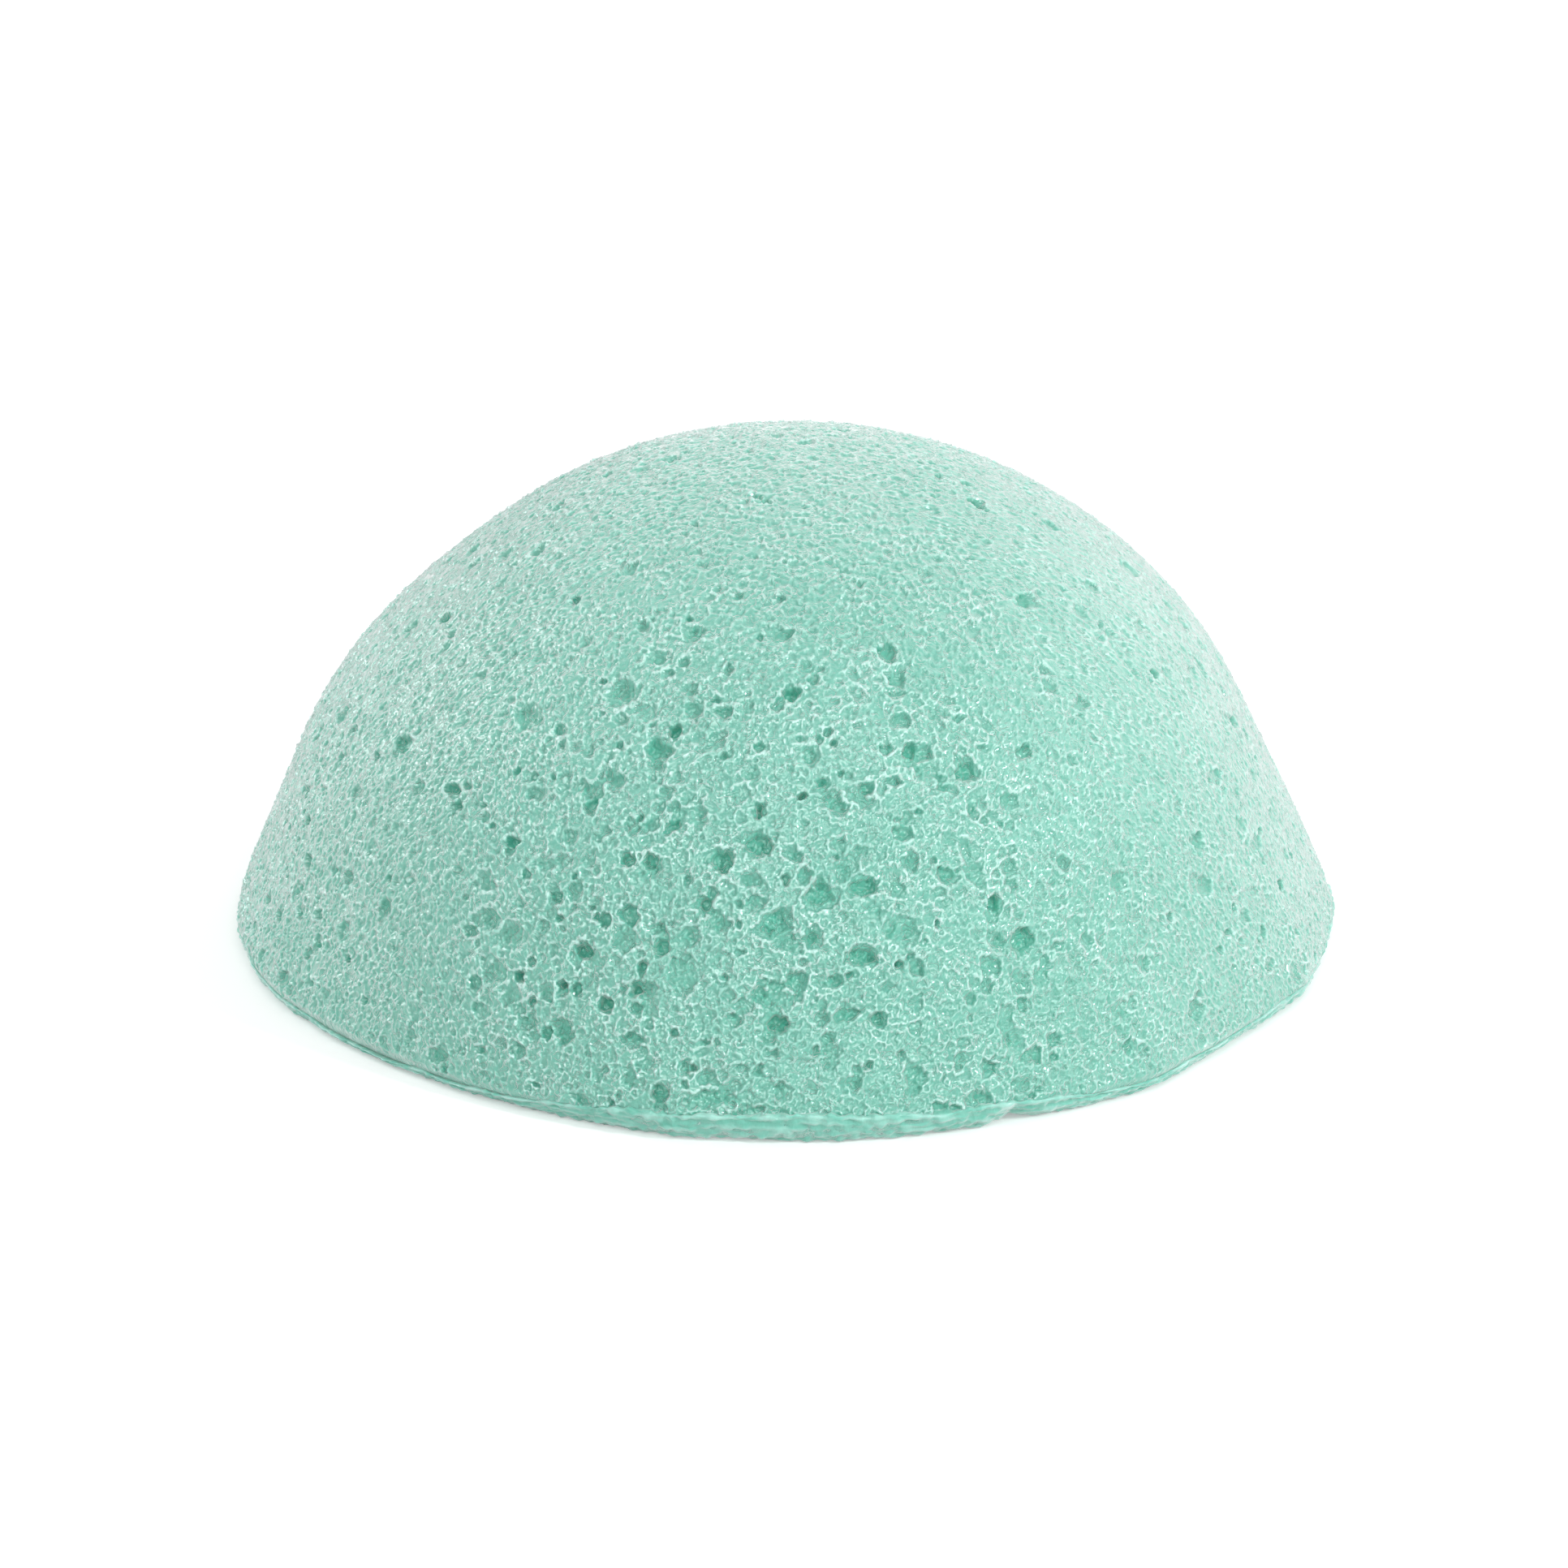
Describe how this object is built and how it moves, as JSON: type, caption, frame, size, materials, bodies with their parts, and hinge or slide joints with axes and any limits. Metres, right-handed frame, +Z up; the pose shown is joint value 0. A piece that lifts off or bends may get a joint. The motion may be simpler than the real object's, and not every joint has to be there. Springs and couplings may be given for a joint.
{
  "type": "konjac sponge",
  "caption": "Half-dome face-washing sponge of moist open-cell konjac gel foam, with a flat, smoother moulded base skin that rests on a surface or in the palm.",
  "frame": {"origin": "centre of the flat underside, on the surface that the sponge lies on", "axes": "+Z up through the crown of the dome, -Y towards the viewer of the picture, +X to the viewer's right"},
  "size_m": [0.08, 0.08, 0.0362],
  "materials": {
    "konjac_foam": "moist translucent mint-green gel foam with open pores and a fine crinkled surface",
    "konjac_skin": "moist mint-green gel skin, smoother and denser than the foam, with faint streaks along the rim"
  },
  "bodies": {
    "root": {"foam_dome": "konjac_foam", "base_skin": "konjac_skin"}
  },
  "joints": []
}
